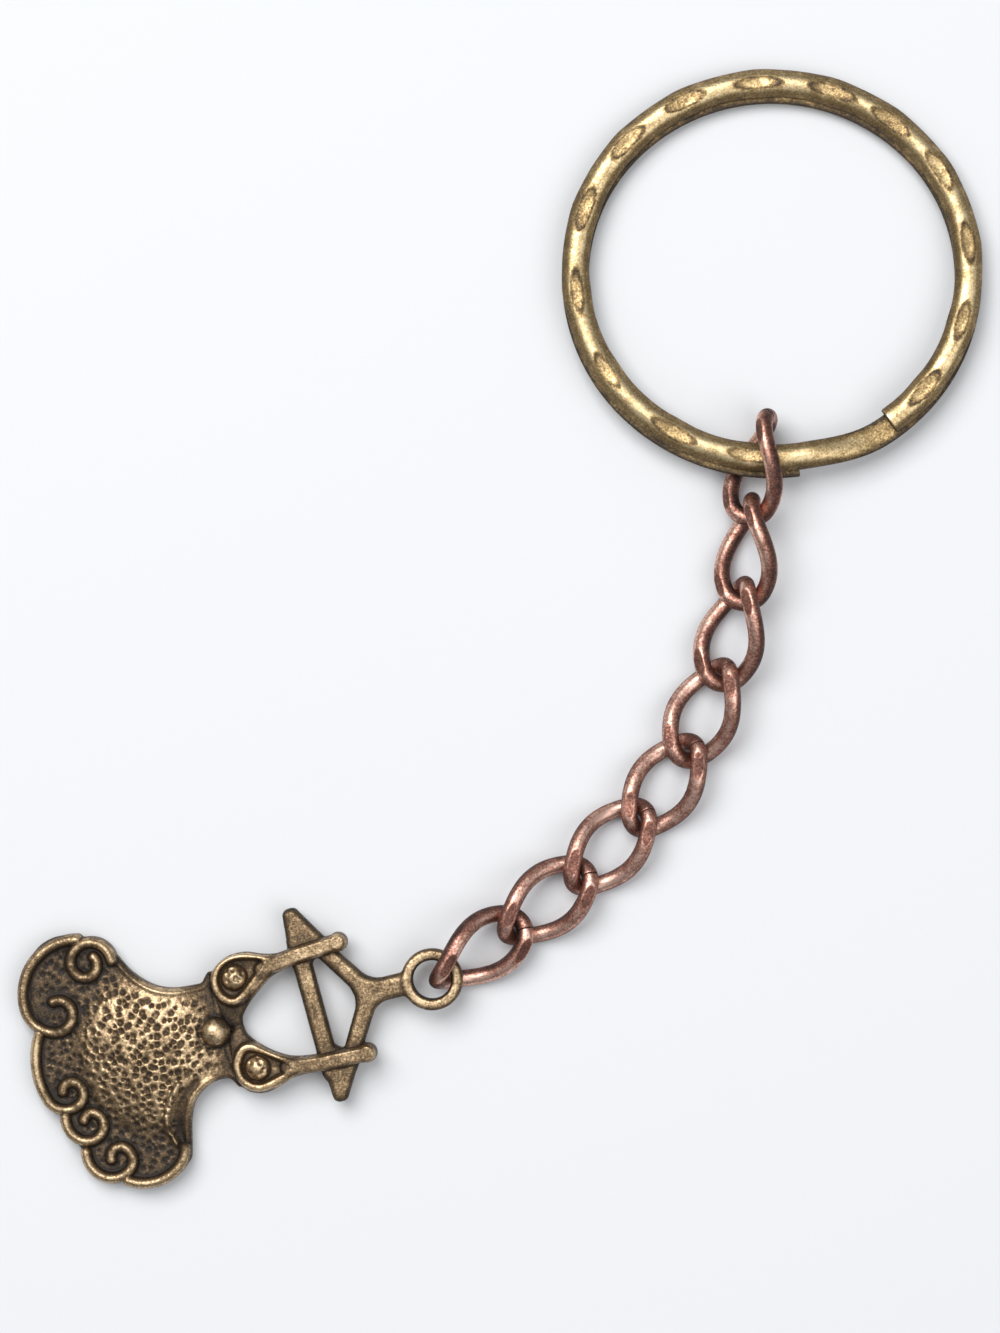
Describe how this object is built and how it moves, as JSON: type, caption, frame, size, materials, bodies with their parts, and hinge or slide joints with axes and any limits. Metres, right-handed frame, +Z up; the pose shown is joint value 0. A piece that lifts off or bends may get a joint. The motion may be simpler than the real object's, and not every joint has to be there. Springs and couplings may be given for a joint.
{
  "type": "split key ring",
  "caption": "Split key ring wound from half-round wire, with a short twisted curb chain that ends in a flat cast charm shaped as a dress on a hanger.",
  "frame": {"origin": "on the surface the object lies on, under the middle of the split ring", "axes": "+Z up from that surface; the ring's long diameter lies along X, and the chain hangs from its -Y side"},
  "size_m": [0.0691, 0.0804, 0.0051],
  "materials": {
    "antique_brass": "worn antique brass plating, satin",
    "antique_copper": "worn antique copper plating, satin, dark in the hollows",
    "antique_bronze": "cast and tumbled antique bronze, dark in the hollows"
  },
  "bodies": {
    "ring": {"ring_turns": "antique_brass"},
    "free_end": {"ring_free_end": "antique_brass"},
    "link_1": {"link_1": "antique_copper"},
    "link_2": {"link_2": "antique_copper"},
    "link_3": {"link_3": "antique_copper"},
    "link_4": {"link_4": "antique_copper"},
    "link_5": {"link_5": "antique_copper"},
    "link_6": {"link_6": "antique_copper"},
    "link_7": {"link_7": "antique_copper"},
    "link_8": {"link_8": "antique_copper"},
    "charm": {"charm_eye": "antique_bronze", "charm_hanger": "antique_bronze", "charm_strap_1": "antique_bronze", "charm_strap_2": "antique_bronze", "charm_bodice": "antique_bronze", "charm_skirt": "antique_bronze", "charm_hem_scrolls": "antique_bronze"}
  },
  "joints": [
    {"name": "ring_to_link_1", "type": "hinge", "parent": "ring", "child": "link_1", "pos_m": [-0.0011, -0.01335, 0.00237], "axis": [1, 0, 0], "range_deg": [-90, 55]},
    {"name": "link_1_to_link_2", "type": "hinge", "parent": "link_1", "child": "link_2", "pos_m": [-0.00146, -0.01612, 0.00254], "axis": [-0.3633, 0.012, 0.9316], "range_deg": [-45, 31]},
    {"name": "link_2_to_link_3", "type": "hinge", "parent": "link_2", "child": "link_3", "pos_m": [-0.00212, -0.02348, 0.00218], "axis": [-0.9501, 0.0534, 0.3075], "range_deg": [-10, 50]},
    {"name": "link_3_to_link_4", "type": "hinge", "parent": "link_3", "child": "link_4", "pos_m": [-0.00332, -0.02802, 0.00191], "axis": [0.2169, -0.1902, 0.9575], "range_deg": [-12, 23]},
    {"name": "link_4_to_link_5", "type": "hinge", "parent": "link_4", "child": "link_5", "pos_m": [-0.00642, -0.03472, 0.00149], "axis": [-0.707, 0.2699, 0.6537], "range_deg": [-20, 43]},
    {"name": "link_5_to_link_6", "type": "hinge", "parent": "link_5", "child": "link_6", "pos_m": [-0.00916, -0.03831, 0.00142], "axis": [0.5212, -0.4595, 0.7192], "range_deg": [-30, 40]},
    {"name": "link_6_to_link_7", "type": "hinge", "parent": "link_6", "child": "link_7", "pos_m": [-0.01416, -0.04375, 0.00157], "axis": [0.4626, -0.4465, -0.7659], "range_deg": [-60, 9]},
    {"name": "link_7_to_link_8", "type": "hinge", "parent": "link_7", "child": "link_8", "pos_m": [-0.01907, -0.04732, 0.00166], "axis": [-0.0362, -0.0059, 0.9993], "range_deg": [-9, 22]},
    {"name": "link_8_to_charm", "type": "hinge", "parent": "link_8", "child": "charm", "pos_m": [-0.02291, -0.04951, 0.0021], "axis": [0.5449, -0.7508, 0.3732], "range_deg": [-50, 14]},
    {"name": "free_end_bend", "type": "hinge", "parent": "ring", "child": "free_end", "pos_m": [0.01088, 0.00918, 0.00227], "axis": [-0.766, -0.642, 0.032], "range_deg": [0, 10], "stiffness_Nm_per_rad": 0.02}
  ]
}
